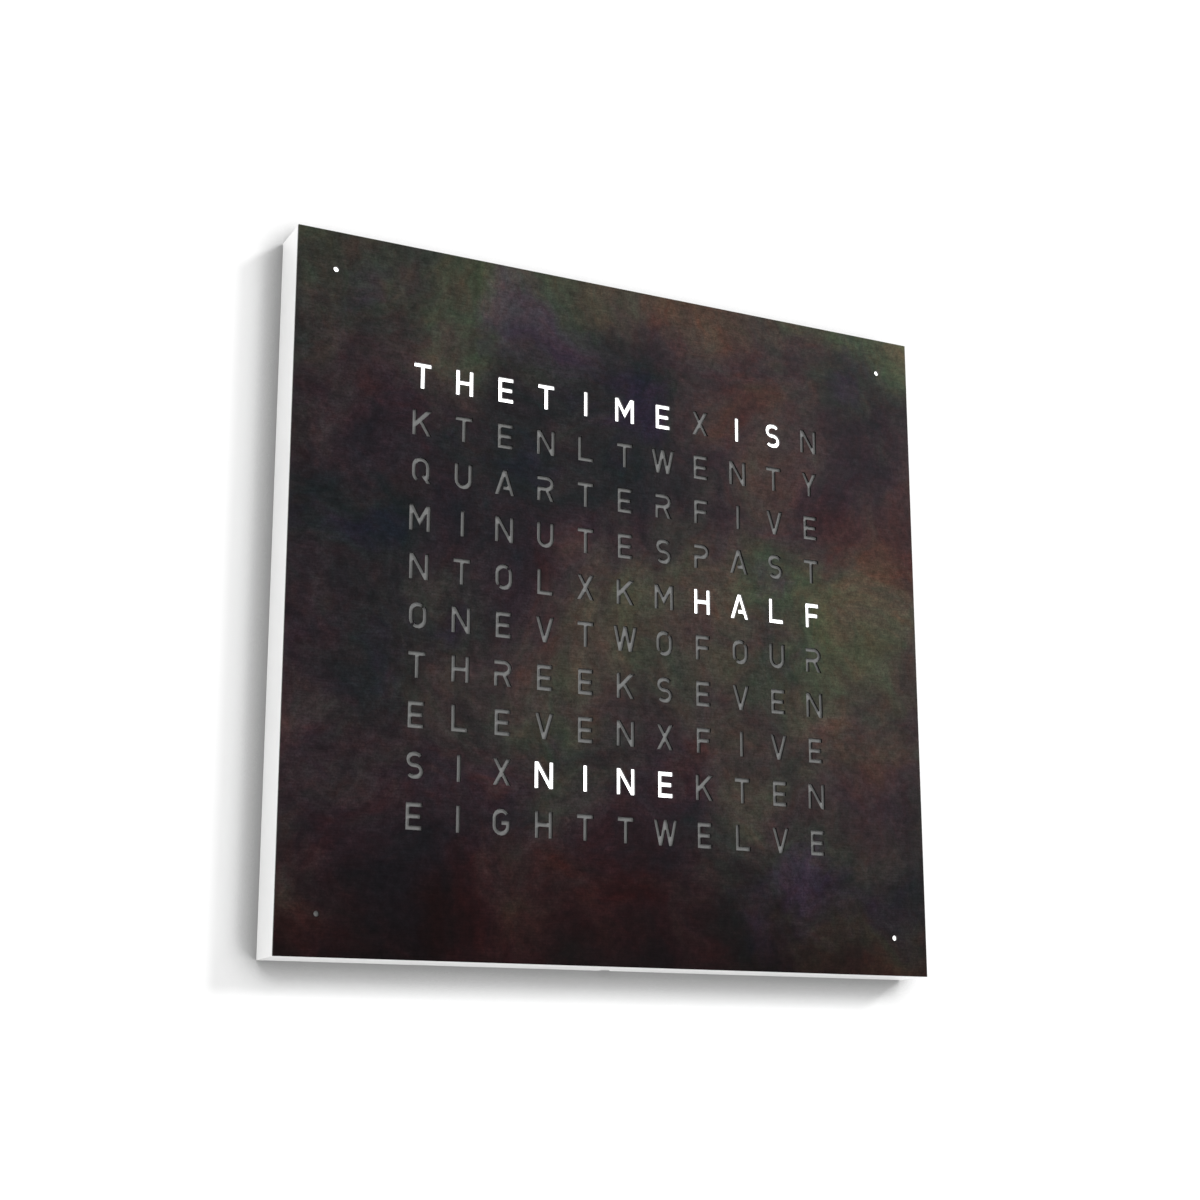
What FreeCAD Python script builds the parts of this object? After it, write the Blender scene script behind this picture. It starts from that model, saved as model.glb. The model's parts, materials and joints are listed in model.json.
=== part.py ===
import FreeCAD, Part
import math
import os

# Word clock: a square wall panel that tells the time with lit words behind a stencilled metal front.
# Millimetres. +X is to the right seen from the front, +Z is up, and the front faces -Y.
# The origin is the centre of the back face, which lies on the wall at y = 0.

# Case and front cover
side = 450.0
case_depth = 31.0
cover_thickness = 1.5
rail_width = 20.0
diffuser_thickness = 2.0
diffuser_ledge = 4.0
diffuser_clearance = 0.5
back_thickness = 1.5
back_ledge = 8.0
back_clearance = 0.4

# Letters and corner dots of the front cover
rows_of_letters = (
    "THETIMEXISN",
    "KTENLTWENTY",
    "QUARTERFIVE",
    "MINUTESPAST",
    "NTOLXKMHALF",
    "ONEVTWOFOUR",
    "THREEKSEVEN",
    "ELEVENXFIVE",
    "SIXNINEKTEN",
    "EIGHTTWELVE",
)
column_pitch = 28.3
row_pitch = 31.0
letter_height = 16.6
stroke = 2.6
stencil_gap = 1.3
letter_width = {
    "A": 13.5, "E": 10.5, "F": 10.4, "G": 11.6, "H": 11.8, "I": 2.6, "K": 12.5,
    "L": 10.9, "M": 14.0, "N": 12.7, "O": 11.7, "P": 11.2, "Q": 11.8, "R": 11.8,
    "S": 11.0, "T": 11.5, "U": 11.8, "V": 12.5, "W": 17.0, "X": 11.6, "Y": 11.6,
}
bowl_radius = 3.6
leg_setback = 0.4
dot_inset = 25.0
dot_diameter = 3.4

# Light board, lights, baffle and dot wells
baffle_wall = 1.2
led_side = 5.0
led_height = 1.6
board_thickness = 1.6
board_clearance = 1.0
rear_room = 12.9
well_bore = 7.0
well_wall = 1.0
post_flats = 5.5
post_screw_bore = 3.0
peg_diameter = 2.8
peg_rise = 1.2
post_inset = 27.0

# Flats of the small round pieces, and of a full turn in a letter
small_sides = 8
fine_sides = 16
coin_sides = 24
bend_sides = 16

# Screws
screw_head_diameter = 6.0
screw_shank_diameter = 2.8
screw_length = 10.0
screw_clearance = 0.1
screw_bore_spare = 1.0
pan_head_height = 1.8
pan_screw_length = 6.0
back_screw_inset = 105.0

# Studs and magnets that hold the front cover
stud_diameter = 4.0
stud_length = 8.0
stud_tip = 1.0
stud_inset = 75.0
stud_clearance = 0.2
bush_diameter = 8.0
bush_length = 9.0
bush_fit = 0.05
magnet_diameter = 10.0
magnet_thickness = 3.0
magnet_spacing = 150.0

# Keyhole hangers
keyhole_spacing = 300.0
keyhole_drop = 75.0
keyhole_entry = 9.5
keyhole_slot = 4.6
keyhole_rise = 12.0
pan_width = 24.0
pan_height = 36.0
pan_depth = 7.0
pan_wall = 0.8
pan_flange = 4.0

# Inlet recess and jack
tray_width = 40.0
tray_height = 34.0
tray_depth = 11.5
tray_wall = 1.2
tray_flange = 4.0
notch_width = 8.0
notch_depth = 6.0
jack_y = -6.4
jack_flange_diameter = 9.6
jack_flange_height = 1.6
jack_barrel_diameter = 7.8
jack_barrel_length = 13.0
jack_bore = 5.6
jack_pin = 2.0
jack_bore_depth = 9.0
jack_pin_setback = 1.0
jack_clearance = 0.2
nut_flats = 9.6
nut_height = 2.0
lug_size = (2.2, 0.5, 4.0)
lug_offset = 2.4
lug_forward = 2.2
nut_room = 0.5
wire_diameter = 1.5
wire_run = 4.0
wire_entry = 1.0

# Control board and what is on it
control_width = 90.0
control_height = 60.0
control_lift = 3.5
control_hole_inset = 5.0
chip_height = 1.7
chip_bevel = 0.25
processor_side = 12.0
driver_size = (10.3, 7.5)
driver_pitch = 13.5
capacitor_diameter = 6.3
capacitor_height = 5.4
capacitor_foot = 1.0
capacitor_rim = 0.15
capacitor_spacing = 32.0
capacitor_rise = 12.0
crystal_size = (11.0, 4.6)
crystal_height = 3.5
header_size = (24.0, 6.0, 4.2)
ribbon_width = 20.0
ribbon_thickness = 0.9
ribbon_reach = 28.0
ribbon_lift = 3.15
ribbon_cover = 1.4
socket_size = (10.0, 6.0, 4.0)
cell_diameter = 20.0
cell_thickness = 3.2
cell_clearance = 0.2
holder_side = 24.0
holder_floor = 1.6

# Setting keys in the right rail
key_count = 4
key_pitch = 16.0
key_board_gap = 1.0
key_diameter = 6.0
key_clearance = 0.2
key_flange_diameter = 9.0
key_flange_thickness = 1.5
key_pocket_depth = 2.0
key_edge = 0.3
key_board_width = 10.0
key_board_end = 7.0
switch_side = 6.0
switch_height = 4.0
switch_gap = 5.0
stem_diameter = 3.5
stem_clearance = 0.1
stem_socket = 3.2
stem_length = 3.6
post_diameter = 5.0
post_bore = 2.4
key_screw_head = 4.0
key_screw_shank = 2.2
key_screw_length = 12.0
lead_width = 8.0
lead_lift = 0.8
lead_socket_size = (5.4, 10.0, 3.4)

half = side / 2
window = half - rail_width
front_y = -case_depth - cover_thickness
diffuser_back_y = -case_depth + diffuser_thickness
inner_back_y = -back_thickness
board_back_y = inner_back_y - rear_room
board_front_y = board_back_y - board_thickness
tray_top_z = tray_height - window
lug_top_z = tray_top_z + jack_barrel_length + lug_size[2]
control_bottom = lug_top_z + wire_run
control_top = control_bottom + control_height
control_middle = control_bottom + control_height / 2
control_back_y = inner_back_y - control_lift
control_front_y = control_back_y - board_thickness
ribbon_y = control_front_y - ribbon_lift
key_board_x = window - switch_gap
key_board_half = key_pitch * key_count / 2 + key_board_end
key_y = board_back_y + key_board_gap + key_board_width / 2
key_flange_x = window + key_pocket_depth
lead_y = control_back_y + lead_lift


def v(x, y, z):
    return FreeCAD.Vector(x, y, z)


def block(x0, x1, y0, y1, z0, z1):
    """A box between two corners."""
    return Part.makeBox(x1 - x0, y1 - y0, z1 - z0, v(x0, y0, z0))


def rod(diameter, start, end):
    """A cylinder from one point to another."""
    way = end - start
    return Part.makeCylinder(diameter / 2, way.Length, start, way)


def ring(diameter, centre, way, sides, phase=0.5):
    """A closed outline with flats, square to one of the axes."""
    across = v(1, 0, 0) if abs(way.z) > abs(way.x) + abs(way.y) else v(0, 0, 1)
    turns = [FreeCAD.Rotation(way, (i + phase) * 360 / sides) for i in range(sides)]
    corners = [centre + turn.multVec(across * (diameter / 2)) for turn in turns]
    return Part.makePolygon(corners + [corners[0]])


def pin(diameter, start, end, sides=small_sides):
    """A small round piece or hole, drawn with flats so that its many repeats stay light."""
    way = end - start
    return Part.Face(ring(diameter, start, way, sides)).extrude(way)


def tube(outer, inner, start, end, sides=small_sides):
    return pin(outer, start, end, sides).cut(pin(inner, start, end, sides))


def taper(wide, narrow, start, end, sides=small_sides):
    """A small cone with flats, such as the head of a countersunk screw."""
    way = end - start
    return Part.makeLoft([ring(wide, start, way, sides), ring(narrow, end, way, sides)], True, True)


def slab(outer, y0, y1):
    """A square slab centred on the Y axis, given by its half side."""
    return block(-outer, outer, y0, y1, -outer, outer)


def hexagon(flats, start, end):
    way = end - start
    return Part.Face(ring(2 * flats / math.sqrt(3), start, way, 6, 0)).extrude(way)


def save(name, solids):
    """Write one sub-part, a solid or a group of separate solids."""
    shape = solids[0] if len(solids) == 1 else Part.makeCompound(solids)
    shape.exportStep("parts/" + name + ".step")


# Stencil letters, drawn in the XZ plane about the letter's own centre
half_line = (letter_height - stroke) / 2
top = letter_height / 2
square_cap = stroke / 2


def path(points, start_cap=square_cap, end_cap=square_cap):
    """A stroke along straight lines with mitred corners."""
    line = [v(x, 0, z) for x, z in points]
    first = (line[1] - line[0]).normalize()
    last = (line[-1] - line[-2]).normalize()
    line[0] = line[0] - first * start_cap
    line[-1] = line[-1] + last * end_cap
    sides = []
    for i in range(len(line) - 1):
        way = (line[i + 1] - line[i]).normalize()
        sides.append(v(-way.z, 0, way.x))
    offsets = [sides[0]]
    for before, after in zip(sides, sides[1:]):
        both = before + after
        offsets.append(both * (1 / (1 + before.dot(after))))
    offsets.append(sides[-1])
    left = [point + offset * (stroke / 2) for point, offset in zip(line, offsets)]
    right = [point - offset * (stroke / 2) for point, offset in zip(line, offsets)]
    corners = left + right[::-1]
    return Part.Face(Part.makePolygon(corners + [corners[0]]))


def turn(x, z, radius, start, end):
    """Points along an arc, with its angles in degrees."""
    steps = math.ceil(abs(end - start) / 360 * bend_sides)
    angles = [math.radians(start + (end - start) * i / steps) for i in range(steps + 1)]
    return [(x + radius * math.cos(angle), z + radius * math.sin(angle)) for angle in angles]


def letter_a(w, h):
    bar_z = -0.41 * top
    joint_x = w * (top - bar_z) / (2 * top)
    inner_edge = -joint_x + square_cap * math.hypot(w, 2 * top) / (2 * top)
    return [path([(-w, -top), (0, top), (w, -top)], stroke, stroke),
            path([(inner_edge + stencil_gap, bar_z), (joint_x, bar_z)], 0, 0)]


def letter_e(w, h):
    return letter_f(w, h) + [path([(-w, -h), (w, -h)])]


def letter_f(w, h):
    return [path([(-w, h), (-w, -h)]),
            path([(-w, h), (w, h)]),
            path([(-w, 0), (0.8 * w, 0)])]


def letter_g(w, h):
    bar_z = -0.05 * top
    return [path(turn(0, h - w, w, 32, 180) + turn(0, w - h, w, 180, 360) + [(w, bar_z), (0, bar_z)], 0, 0)]


def letter_h(w, h):
    return [path([(-w, h), (-w, -h)]),
            path([(w, h), (w, -h)]),
            path([(-w, 0), (w, 0)])]


def letter_i(w, h):
    return [path([(0, h), (0, -h)])]


def letter_k(w, h):
    foot_z = -0.24 * top
    branch_x = -0.25 * w
    branch_z = foot_z + (branch_x + w) / (2 * w) * (top - foot_z)
    return [path([(-w, h), (-w, -h)]),
            path([(-w, foot_z), (w, top)], 0, stroke),
            path([(branch_x, branch_z), (w, -top)], 0, stroke)]


def letter_l(w, h):
    return [path([(-w, h), (-w, -h), (w, -h)])]


def letter_m(w, h):
    return [path([(-w, -top), (-w, top), (0, -0.3 * top), (w, top), (w, -top)])]


def letter_n(w, h):
    return [path([(-w, -top), (-w, top), (w, -top), (w, top)])]


def letter_o(w, h):
    gap = math.degrees(stencil_gap / 2 / w)
    return [path(turn(0, h - w, w, 45 + gap, 180) + turn(0, w - h, w, 180, 225 - gap), 0, 0),
            path(turn(0, w - h, w, 225 + gap, 360) + turn(0, h - w, w, 0, 45 - gap), 0, 0)]


def letter_p(w, h):
    bowl = turn(w - bowl_radius, h - bowl_radius, bowl_radius, 90, -90)
    return [path([(-w, h)] + bowl + [(-w, h - 2 * bowl_radius), (-w, -h)])]


def letter_q(w, h):
    sides = turn(0, w - h, w, 238, 180) + turn(0, h - w, w, 180, 0) + turn(0, w - h, w, 360, 315)
    return [path(sides, 0, 0),
            path([(0.32 * w, -0.4 * top), (1.2 * w, -top)], 0, stroke)]


def letter_r(w, h):
    waist = h - 2 * bowl_radius
    return letter_p(w, h) + [path([(w - bowl_radius - leg_setback, waist), (w, -top)], 0, stroke)]


def letter_s(w, h):
    radius = h / 2
    flat = w - radius
    upper = turn(flat, radius, radius, 35, 90) + turn(-flat, radius, radius, 90, 270)
    lower = turn(flat, -radius, radius, 90, -90) + turn(-flat, -radius, radius, 270, 215)
    return [path(upper + lower, 0, 0)]


def letter_t(w, h):
    return [path([(-w, h), (w, h)]),
            path([(0, h), (0, -h)])]


def letter_u(w, h):
    return [path([(-w, h)] + turn(0, w - h, w, 180, 360) + [(w, h)])]


def letter_v(w, h):
    return [path([(-w, top), (0, -top), (w, top)], stroke, stroke)]


def letter_w(w, h):
    return [path([(-w, top), (-w / 2, -top), (0, top), (w / 2, -top), (w, top)], stroke, stroke)]


def letter_x(w, h):
    return [path([(-w, -top), (w, top)], stroke, stroke),
            path([(-w, top), (w, -top)], stroke, stroke)]


def letter_y(w, h):
    return [path([(-w, top), (0, -0.15 * top), (w, top)], stroke, stroke),
            path([(0, -0.15 * top), (0, -h)], 0)]


letters = {
    "A": letter_a, "E": letter_e, "F": letter_f, "G": letter_g, "H": letter_h, "I": letter_i,
    "K": letter_k, "L": letter_l, "M": letter_m, "N": letter_n, "O": letter_o, "P": letter_p,
    "Q": letter_q, "R": letter_r, "S": letter_s, "T": letter_t, "U": letter_u, "V": letter_v,
    "W": letter_w, "X": letter_x, "Y": letter_y,
}


def letter_outlines(letter):
    """The closed outlines of one letter, joined from its strokes and cut level at top and bottom."""
    half_width = (letter_width[letter] - stroke) / 2
    strokes = letters[letter](half_width, half_line)
    joined = strokes[0]
    if len(strokes) > 1:
        joined = strokes[0].multiFuse(strokes[1:]).removeSplitter()
    reach = column_pitch
    band = Part.Face(Part.makePolygon([v(-reach, 0, -top), v(reach, 0, -top), v(reach, 0, top),
                                       v(-reach, 0, top), v(-reach, 0, -top)]))
    return [face.OuterWire for face in joined.common(band).Faces]


def letter_places():
    """Each letter of the grid with the place of its centre."""
    places = []
    for row, text in enumerate(rows_of_letters):
        for column, letter in enumerate(text):
            x = (column - (len(text) - 1) / 2) * column_pitch
            z = ((len(rows_of_letters) - 1) / 2 - row) * row_pitch
            places.append((letter, x, z))
    return places


def dot_places():
    """The centres of the four corner dots."""
    place = half - dot_inset
    return [(x, z) for x in (-place, place) for z in (-place, place)]


def moved(shape, x, y, z):
    copy = shape.copy()
    copy.translate(v(x, y, z))
    return copy


def front_cover():
    """Flat metal sheet with the stencil letters and corner dots cut through it."""
    outlines = {letter: letter_outlines(letter) for letter in sorted(set("".join(rows_of_letters)))}
    square = [v(-half, front_y, -half), v(half, front_y, -half), v(half, front_y, half),
              v(-half, front_y, half), v(-half, front_y, -half)]
    wires = [Part.makePolygon(square)]
    for letter, x, z in letter_places():
        for outline in outlines[letter]:
            wires.append(moved(outline, x, front_y, z))
    for x, z in dot_places():
        wires.append(ring(dot_diameter, v(x, front_y, z), v(0, 1, 0), fine_sides))
    sheet = Part.makeFace(wires, "Part::FaceMakerBullseye")
    return sheet.extrude(v(0, cover_thickness, 0))


def around(places, inset):
    """Places on all four rails, at a distance in from the outer edge."""
    line = half - inset
    on_sides = [(x, z) for x in (-line, line) for z in places]
    on_ends = [(x, z) for z in (-line, line) for x in places]
    return on_sides + on_ends


def front_line():
    """Distance from the outer edge to the middle of the rails' front faces."""
    return (rail_width - diffuser_ledge) / 2


def stud_places():
    line = half - front_line()
    place = half - stud_inset
    return [(x, z) for x in (-line, line) for z in (-place, place)]


def back_line():
    """Distance from the outer edge to the middle of the back cover's ledge."""
    return rail_width - back_ledge / 2


def back_screws_at():
    place = half - back_screw_inset
    return around((-place, place), back_line())


def magnets_at():
    return around((-magnet_spacing / 2, magnet_spacing / 2), front_line())


def key_heights():
    first = control_middle - key_pitch * (key_count - 1) / 2
    return [first + key_pitch * i for i in range(key_count)]


def key_post_heights():
    reach = key_board_half - key_board_end / 2
    return [control_middle - reach, control_middle + reach]


def rail_tools():
    """Everything that is cut out of the four rails."""
    tools = [slab(window + diffuser_ledge, -case_depth, diffuser_back_y),
             slab(window + back_ledge, -back_thickness, 0)]
    for x, z in magnets_at():
        bore = magnet_diameter + 2 * bush_fit
        tools.append(pin(bore, v(x, -case_depth, z), v(x, magnet_thickness - case_depth, z)))
    for x, z in stud_places():
        tools.append(pin(bush_diameter, v(x, -case_depth, z), v(x, bush_length - case_depth, z)))
    for x, z in back_screws_at():
        bore = screw_shank_diameter + 2 * screw_clearance
        tools.append(pin(bore, v(x, -screw_length - screw_bore_spare, z), v(x, 0, z)))
    tools.append(block(-notch_width / 2, notch_width / 2, -notch_depth, 0, -half, -window))
    for z in key_heights():
        bore = key_diameter + 2 * key_clearance
        pocket = key_flange_diameter + 2 * key_clearance
        tools.append(pin(bore, v(window, key_y, z), v(half, key_y, z), fine_sides))
        end = v(window + key_pocket_depth, key_y, z)
        tools.append(pin(pocket, v(window, key_y, z), end))
    for z in key_post_heights():
        bore = key_screw_shank + 2 * screw_clearance
        reach = key_board_x - board_thickness + key_screw_length
        tools.append(pin(bore, v(window, key_y, z), v(reach, key_y, z)))
    return Part.makeCompound(tools)


def rail(corners, tools):
    """One mitred rail of the case, from its four corners in the XZ plane."""
    points = [v(x, -case_depth, z) for x, z in corners]
    blank = Part.Face(Part.makePolygon(points + [points[0]])).extrude(v(0, case_depth, 0))
    return blank.cut(tools)


def rails():
    tools = rail_tools()
    o = half
    i = window
    return {
        "rail_top": rail([(-o, o), (o, o), (i, i), (-i, i)], tools),
        "rail_bottom": rail([(-o, -o), (o, -o), (i, -i), (-i, -i)], tools),
        "rail_left": rail([(-o, -o), (-o, o), (-i, i), (-i, -i)], tools),
        "rail_right": rail([(o, -o), (o, o), (i, i), (i, -i)], tools),
    }


def diffuser_sheet():
    edge = window + diffuser_ledge - diffuser_clearance
    return slab(edge, -case_depth, diffuser_back_y)


def light_baffle():
    """Moulded grid with one open cell for each letter."""
    columns = len(rows_of_letters[0])
    rows = len(rows_of_letters)
    across = columns * column_pitch + baffle_wall
    up = rows * row_pitch + baffle_wall
    y = diffuser_back_y
    outline = [v(-across / 2, y, -up / 2), v(across / 2, y, -up / 2), v(across / 2, y, up / 2),
               v(-across / 2, y, up / 2), v(-across / 2, y, -up / 2)]
    wires = [Part.makePolygon(outline)]
    dx = (column_pitch - baffle_wall) / 2
    dz = (row_pitch - baffle_wall) / 2
    for _, x, z in letter_places():
        cell = [v(x - dx, y, z - dz), v(x + dx, y, z - dz), v(x + dx, y, z + dz),
                v(x - dx, y, z + dz), v(x - dx, y, z - dz)]
        wires.append(Part.makePolygon(cell))
    return Part.makeFace(wires, "Part::FaceMakerBullseye").extrude(v(0, board_front_y - diffuser_back_y, 0))


def dot_wells():
    wells = []
    for x, z in dot_places():
        inner = well_bore / 2
        outer = inner + well_wall
        y = (diffuser_back_y, board_front_y)
        shell = block(x - outer, x + outer, *y, z - outer, z + outer)
        wells.append(shell.cut(block(x - inner, x + inner, *y, z - inner, z + inner)))
    return wells


def lights(places):
    """Light packages on the front of the light board, one at each place."""
    reach = led_side / 2
    return [block(x - reach, x + reach, board_front_y - led_height, board_front_y, z - reach, z + reach)
            for x, z in places]


def post_places():
    place = window - post_inset
    return [(x, z) for x in (-place, place) for z in (-place, 0, place)]


def led_board():
    edge = window - board_clearance
    board = slab(edge, board_front_y, board_back_y)
    holes = []
    for x, z in post_places():
        bore = screw_shank_diameter + 2 * screw_clearance
        holes.append(pin(bore, v(x, board_front_y, z), v(x, board_back_y, z)))
    return board.cut(Part.makeCompound(holes))


def board_post(x, z):
    """Moulded hexagonal post whose split peg snaps through the light board."""
    body = hexagon(post_flats, v(x, inner_back_y, z), v(x, board_back_y, z))
    peg = pin(peg_diameter, v(x, board_back_y, z), v(x, board_front_y - peg_rise, z))
    bore = pin(post_screw_bore, v(x, inner_back_y, z), v(x, inner_back_y - pan_screw_length, z))
    return body.fuse(peg).cut(bore)


def control_post(x, z):
    """Short moulded post on the back cover whose peg snaps through the control board."""
    body = hexagon(post_flats, v(x, inner_back_y, z), v(x, control_back_y, z))
    return body.fuse(pin(peg_diameter, v(x, control_back_y, z), v(x, control_front_y - peg_rise, z)))


def flush_screw(x, z, length):
    """Countersunk screw whose head is level with the back face."""
    shank = pin(screw_shank_diameter, v(x, -back_thickness, z), v(x, -length, z))
    head = taper(screw_head_diameter, screw_shank_diameter, v(x, 0, z), v(x, -back_thickness, z))
    return head.fuse(shank)


def flush_seat(x, z):
    """Countersunk hole for a flush screw."""
    gap = 2 * screw_clearance
    return taper(screw_head_diameter + gap, screw_shank_diameter + gap, v(x, 0, z), v(x, -back_thickness, z))


def keyhole_places():
    z = half - keyhole_drop
    return [(-keyhole_spacing / 2, z), (keyhole_spacing / 2, z)]


def keyhole_tool(x, z):
    """Keyhole: a round entry with a narrower slot that rises from it."""
    entry = rod(keyhole_entry, v(x, -back_thickness, z), v(x, 0, z))
    slot = block(x - keyhole_slot / 2, x + keyhole_slot / 2, -back_thickness, 0, z, z + keyhole_rise)
    end = pin(keyhole_slot, v(x, -back_thickness, z + keyhole_rise), v(x, 0, z + keyhole_rise))
    return entry.fuse([slot, end])


def back_cover():
    """Sheet-metal back with countersunk holes, two keyholes and the opening of the inlet recess."""
    edge = window + back_ledge - back_clearance
    sheet = slab(edge, -back_thickness, 0)
    tools = [flush_seat(x, z) for x, z in back_screws_at() + post_places()]
    tools += [keyhole_tool(x, z) for x, z in keyhole_places()]
    tools.append(block(-tray_width / 2, tray_width / 2, -back_thickness, 0,
                       -window, tray_top_z))
    tools.append(block(-notch_width / 2, notch_width / 2, -back_thickness, 0, -edge, -window))
    return sheet.cut(Part.makeCompound(tools))


def hanger_pan(x, z):
    """Pressed pan behind a keyhole that keeps the wall screw's head clear of the boards."""
    middle = z + keyhole_rise / 2
    wide = pan_width / 2
    high = pan_height / 2
    y0 = inner_back_y - pan_depth
    cup = block(x - wide, x + wide, y0, inner_back_y, middle - high, middle + high)
    upright = [edge for edge in cup.Edges if abs(edge.Vertexes[0].Y - edge.Vertexes[1].Y) > 1]
    cup = cup.makeChamfer(pan_flange / 2, upright)
    flange = block(x - wide - pan_flange, x + wide + pan_flange, inner_back_y - pan_wall, inner_back_y,
                   middle - high, middle + high)
    hollow = block(x - wide + pan_wall, x + wide - pan_wall, y0 + pan_wall, inner_back_y,
                   middle - high + pan_wall, middle + high - pan_wall)
    return cup.fuse(flange).cut(hollow)


def inlet_tray():
    """Moulded recess for the plug, open to the back, with its lower side closed by the bottom rail."""
    wide = tray_width / 2
    top_z = tray_top_z
    floor_y = -tray_depth
    shell = block(-wide - tray_wall, wide + tray_wall, floor_y - tray_wall, inner_back_y,
                  -window, top_z + tray_wall)
    flange = block(-wide - tray_flange, wide + tray_flange, inner_back_y - tray_wall, inner_back_y,
                   -window, top_z + tray_flange)
    hollow = block(-wide, wide, floor_y, inner_back_y, -window, top_z)
    bore = jack_barrel_diameter + 2 * jack_clearance
    hole = pin(bore, v(0, jack_y, top_z), v(0, jack_y, top_z + tray_wall), fine_sides)
    nut_reach = nut_flats / math.sqrt(3) + nut_room
    nut_notch = block(-nut_reach, nut_reach, inner_back_y - tray_wall, inner_back_y,
                      top_z + tray_wall, top_z + tray_flange)
    return shell.fuse(flange).cut(Part.makeCompound([hollow, hole, nut_notch]))


def dc_jack():
    """Round panel jack that takes a barrel plug from below."""
    mouth_z = tray_top_z - jack_flange_height
    back_z = tray_top_z + jack_barrel_length
    flange = pin(jack_flange_diameter, v(0, jack_y, mouth_z), v(0, jack_y, tray_top_z), fine_sides)
    barrel = pin(jack_barrel_diameter, v(0, jack_y, tray_top_z), v(0, jack_y, back_z), fine_sides)
    bore = pin(jack_bore, v(0, jack_y, mouth_z), v(0, jack_y, mouth_z + jack_bore_depth), fine_sides)
    contact = pin(jack_pin, v(0, jack_y, mouth_z + jack_pin_setback), v(0, jack_y, mouth_z + jack_bore_depth))
    shape = flange.fuse(barrel).cut(bore).fuse(contact)
    wide, thick, high = lug_size
    for x in (-lug_offset, lug_offset):
        lug = block(x - wide / 2, x + wide / 2, wire_y() - thick / 2, wire_y() + thick / 2,
                    back_z, back_z + high)
        shape = shape.fuse(lug)
    return shape


def jack_nut():
    z = tray_top_z + tray_wall
    nut = hexagon(nut_flats, v(0, jack_y, z), v(0, jack_y, z + nut_height))
    bore = jack_barrel_diameter + 2 * screw_clearance
    return nut.cut(pin(bore, v(0, jack_y, z), v(0, jack_y, z + nut_height), fine_sides))


def wire_y():
    """The lugs and wires lie in front of the jack's axis, clear of the control board."""
    return jack_y - lug_forward


def jack_wires():
    """Two short wires from the jack's lugs to the power socket of the control board."""
    return [pin(wire_diameter, v(x, wire_y(), lug_top_z), v(x, wire_y(), control_bottom + wire_entry))
            for x in (-lug_offset, lug_offset)]


def control_holes():
    x = control_width / 2 - control_hole_inset
    low = control_bottom + control_hole_inset
    high = control_top - control_hole_inset
    return [(-x, low), (x, low), (-x, high), (x, high)]


def control_board():
    board = block(-control_width / 2, control_width / 2, control_front_y, control_back_y,
                  control_bottom, control_top)
    bore = screw_shank_diameter + 2 * screw_clearance
    holes = [pin(bore, v(x, control_front_y, z), v(x, control_back_y, z)) for x, z in control_holes()]
    return board.cut(Part.makeCompound(holes))


def on_control(x, z, wide, high, tall):
    """A block that stands on the front of the control board."""
    return block(x - wide / 2, x + wide / 2, control_front_y - tall, control_front_y,
                 z - high / 2, z + high / 2)


def chip(x, z, wide, high):
    """Moulded chip body with a bevelled face."""
    body = on_control(x, z, wide, high, chip_height)
    face = control_front_y - chip_height
    rim = [edge for edge in body.Edges
           if all(abs(corner.Y - face) < 0.01 for corner in edge.Vertexes)]
    return body.makeChamfer(chip_bevel, rim)


def processor():
    return chip(0, control_middle, processor_side, processor_side)


def driver_chips():
    wide, high = driver_size
    x = control_width / 2 - control_hole_inset - wide
    return [chip(-x, control_middle + driver_pitch * i, wide, high) for i in (-1, 0, 1)]


def crystal():
    """Metal can with rounded ends."""
    long, thick = crystal_size
    body = on_control(0, control_middle + processor_side, long, thick, crystal_height)
    upright = [edge for edge in body.Edges if abs(edge.Vertexes[0].Y - edge.Vertexes[1].Y) > 1]
    return body.makeChamfer(thick / 3, upright)


def capacitors():
    """Can capacitors on square feet."""
    cans = []
    z = control_bottom + capacitor_rise
    for x in (-capacitor_spacing / 2, capacitor_spacing / 2):
        foot = on_control(x, z, capacitor_diameter, capacitor_diameter, capacitor_foot)
        can = pin(capacitor_diameter - 2 * capacitor_rim, v(x, control_front_y - capacitor_height, z),
                  v(x, control_front_y - capacitor_foot, z), fine_sides)
        cans.append(foot.fuse(can))
    return cans


def power_socket():
    wide, high, tall = socket_size
    body = block(-wide / 2, wide / 2, control_front_y - tall, control_front_y,
                 control_bottom, control_bottom + high)
    holes = []
    for x in (-lug_offset, lug_offset):
        bore = wire_diameter + 2 * screw_clearance
        start = v(x, wire_y(), control_bottom)
        holes.append(pin(bore, start, v(x, wire_y(), control_bottom + wire_entry)))
    return body.cut(Part.makeCompound(holes))


def ribbon_headers():
    """The header on the control board and the one on the back of the light board."""
    wide, high, tall = header_size
    start = control_top + ribbon_reach
    lower_header = block(-wide / 2, wide / 2, control_front_y - tall, control_front_y,
                         control_top - high, control_top)
    upper_header = block(-wide / 2, wide / 2, board_back_y, ribbon_y + ribbon_cover, start, start + high)
    return [lower_header, upper_header]


def ribbon_cable():
    """Flat cable that runs straight between the two headers."""
    return block(-ribbon_width / 2, ribbon_width / 2, ribbon_y - ribbon_thickness / 2,
                 ribbon_y + ribbon_thickness / 2, control_top, control_top + ribbon_reach)


def cell_place():
    return control_width / 2 - control_hole_inset - holder_side / 2, control_middle


def coin_cell_holder():
    """Moulded holder with a round pocket, open to the front."""
    x, z = cell_place()
    holder = on_control(x, z, holder_side, holder_side, holder_floor + cell_thickness)
    floor_y = control_front_y - holder_floor
    pocket = pin(cell_diameter + 2 * cell_clearance, v(x, floor_y, z),
                 v(x, floor_y - cell_thickness, z), coin_sides)
    return holder.cut(pocket)


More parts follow.
